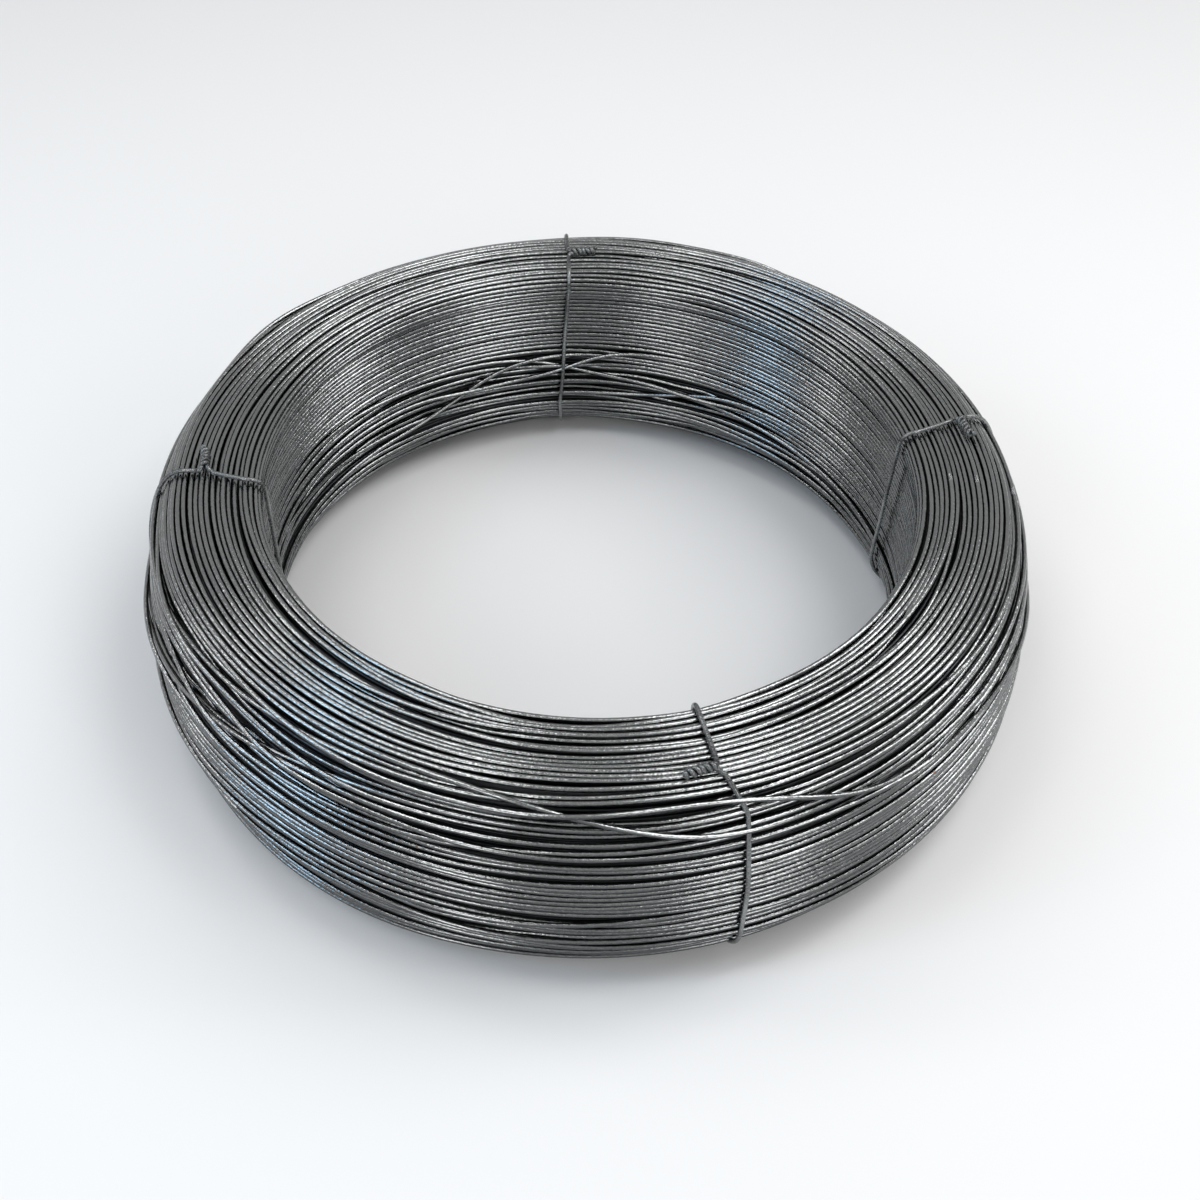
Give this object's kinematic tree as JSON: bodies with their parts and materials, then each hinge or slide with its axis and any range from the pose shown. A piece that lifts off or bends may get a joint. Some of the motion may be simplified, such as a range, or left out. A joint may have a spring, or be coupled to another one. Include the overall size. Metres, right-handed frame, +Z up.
{
  "type": "tied coil of steel wire",
  "caption": "Loose wound ring of round steel wire with an open eye, held together by wire ties with twisted ends.",
  "frame": {"origin": "on the axis of the eye, at the level of the floor that the coil lies on", "axes": "+Z up along the axis of the eye, -Y towards the front of the picture, +X to its right"},
  "size_m": [0.3615, 0.3613, 0.0983],
  "materials": {
    "coil_wire": "drawn grey steel, satin with bright broken glints along each turn",
    "tie_wire": "dull dark grey annealed steel"
  },
  "bodies": {
    "root": {"wire_coil": "coil_wire", "tie_front": "tie_wire", "tie_right": "tie_wire", "tie_back": "tie_wire", "tie_left": "tie_wire"}
  },
  "joints": []
}
